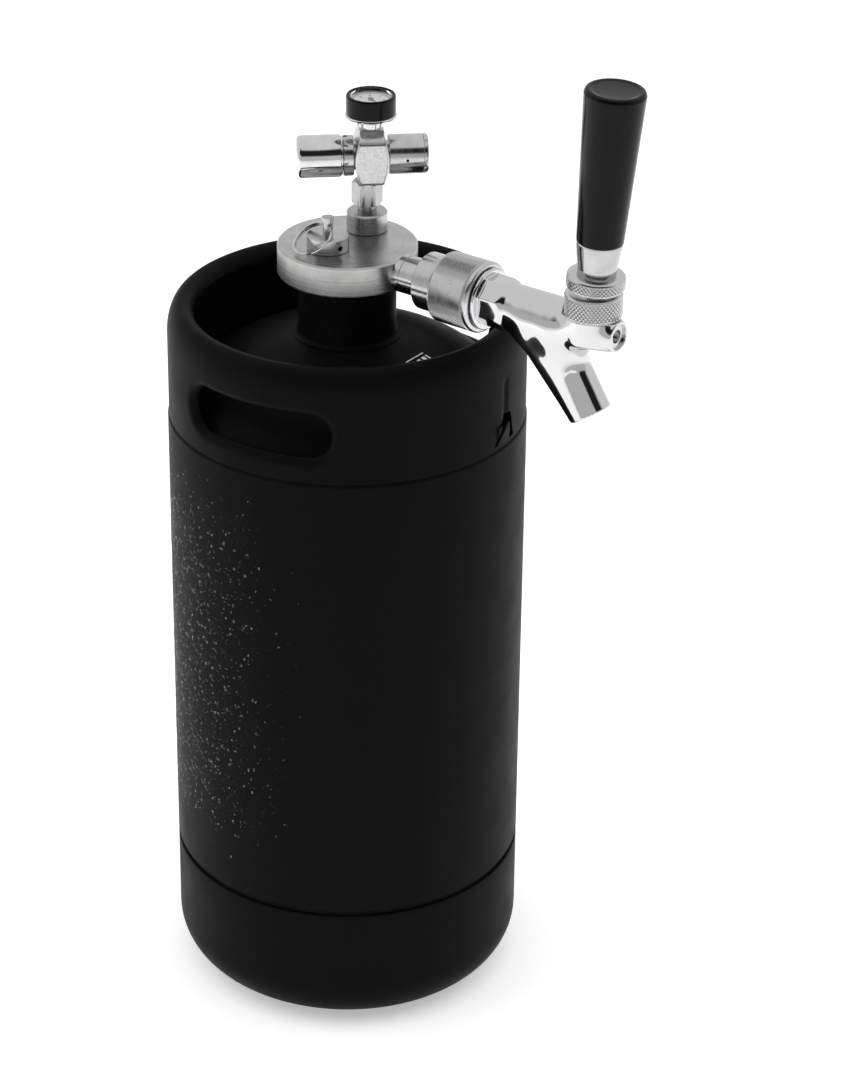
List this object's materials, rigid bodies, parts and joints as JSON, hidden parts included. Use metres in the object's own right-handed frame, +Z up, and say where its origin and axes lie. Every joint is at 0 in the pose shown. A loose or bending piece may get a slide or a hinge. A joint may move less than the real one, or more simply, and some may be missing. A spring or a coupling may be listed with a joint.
{
  "type": "mini keg growler with tap",
  "caption": "Double-walled cylindrical mini keg with slotted handle collar, screw-in dispenser cap, gas regulator with gauge, relief valve and lever tap.",
  "frame": {"origin": "centre of the base ring on the surface that the keg stands on", "axes": "+Z up along the keg axis, the tap points along -Y, the gas inlet is on the +X side"},
  "size_m": [0.165, 0.2353, 0.4764],
  "materials": {
    "black_powder_coat": "satin",
    "polished_inner_steel": "satin",
    "brushed_cap_steel": "brushed",
    "turned_steel": "fine turned",
    "chrome": "polished",
    "knurled_steel": "knurled",
    "forged_body": "satin nickel plated",
    "black_plastic": "gloss",
    "black_rubber": "matte",
    "white_dial": "matte print",
    "needle_black": "matte",
    "clear_lens": "clear",
    "brass": "machined",
    "spring_steel": "drawn wire",
    "nylon": "matte"
  },
  "bodies": {
    "keg": {"outer_shell": "black_powder_coat", "base_skirt": "black_powder_coat", "bottom_plate": "black_powder_coat", "inner_vessel": "polished_inner_steel", "shoulder_dome": "black_powder_coat", "neck_ring": "black_powder_coat", "handle_collar": "black_powder_coat"},
    "gasket": {"cap_gasket": "black_rubber"},
    "head": {"dispenser_cap": "brushed_cap_steel", "dip_tube": "turned_steel", "gas_inlet_fitting": "turned_steel", "relief_boss": "turned_steel", "relief_spring": "spring_steel", "regulator_body": "forged_body", "regulator_piston": "brass", "spring_bonnet": "turned_steel", "range_spring": "spring_steel", "cartridge_socket": "turned_steel", "piercing_pin": "spring_steel", "cartridge_seal": "black_rubber", "socket_end_ring": "turned_steel", "gauge_case": "chrome", "gauge_ring": "black_rubber", "gauge_dial": "white_dial", "gauge_lens": "clear_lens", "beer_shank": "chrome", "shank_collar": "chrome", "coupling_washer": "black_rubber", "faucet_body": "chrome", "shaft_guide": "turned_steel", "faucet_bonnet": "knurled_steel", "friction_washer": "nylon"},
    "relief_stem": {"relief_stem": "turned_steel", "relief_seal": "black_rubber"},
    "pull_ring": {"pull_ring": "chrome"},
    "swivel_nut": {"swivel_nut": "turned_steel"},
    "spring_follower": {"spring_follower": "brass"},
    "pressure_knob": {"pressure_knob": "chrome"},
    "gauge_needle": {"gauge_needle": "needle_black"},
    "coupling_nut": {"coupling_nut": "knurled_steel"},
    "valve_shaft": {"valve_shaft": "turned_steel", "seat_washer": "black_rubber"},
    "lever": {"tap_lever": "turned_steel", "lever_collar": "knurled_steel", "handle_ferrule": "chrome", "tap_handle": "black_plastic"}
  },
  "joints": [
    {"name": "cap_lift", "type": "slide", "parent": "keg", "child": "gasket", "axis": [0, 0, 1], "range_m": [0, 0.345]},
    {"name": "cap_unscrew", "type": "hinge", "parent": "gasket", "child": "head", "pos_m": [0, 0, 0.36], "axis": [0, 0, 1], "range_deg": [0, 540]},
    {"name": "relief_lift", "type": "slide", "parent": "head", "child": "relief_stem", "axis": [0, 0, 1], "range_m": [0, 0.003], "stiffness_N_per_m": 600, "springref_m": -0.004, "deforming": ["relief_spring"]},
    {"name": "pull_ring_swing", "type": "hinge", "parent": "relief_stem", "child": "pull_ring", "pos_m": [-0.012, 0.0018, 0.3838], "axis": [0.319, 0.9478, 0], "range_deg": [0, 236]},
    {"name": "swivel_nut_turn", "type": "hinge", "parent": "head", "child": "swivel_nut", "pos_m": [0.0169, 0.0018, 0.3905], "axis": [0, 0, 1], "continuous": true},
    {"name": "pressure_knob_turn", "type": "hinge", "parent": "head", "child": "pressure_knob", "pos_m": [0.0169, 0.0018, 0.4082], "axis": [0.6691, -0.7431, 0], "range_deg": [0, 900]},
    {"name": "spring_follower_slide", "type": "slide", "parent": "head", "child": "spring_follower", "axis": [0.6691, -0.7431, 0], "range_m": [0, 0.0025], "deforming": ["range_spring"]},
    {"name": "gauge_needle_sweep", "type": "hinge", "parent": "head", "child": "gauge_needle", "pos_m": [0.01797, 0.00061, 0.43], "axis": [0, 0, -1], "range_deg": [0, 270]},
    {"name": "coupling_nut_turn", "type": "hinge", "parent": "head", "child": "coupling_nut", "pos_m": [0, -0.066, 0.36515], "axis": [0, -1, 0], "continuous": true},
    {"name": "tap_lever_pull", "type": "hinge", "parent": "head", "child": "lever", "pos_m": [0, -0.1325, 0.3782], "axis": [1, 0, 0], "range_deg": [-14.2, 5.8]},
    {"name": "valve_shaft_slide", "type": "slide", "parent": "head", "child": "valve_shaft", "axis": [0, 1, 0], "range_m": [-0.00325, 0.00135]}
  ],
  "couplings": [
    {"joint": "spring_follower_slide", "follows": "pressure_knob_turn", "m_per_rad": 0.00015915},
    {"joint": "valve_shaft_slide", "follows": "tap_lever_pull", "m_per_rad": 0.01293}
  ]
}
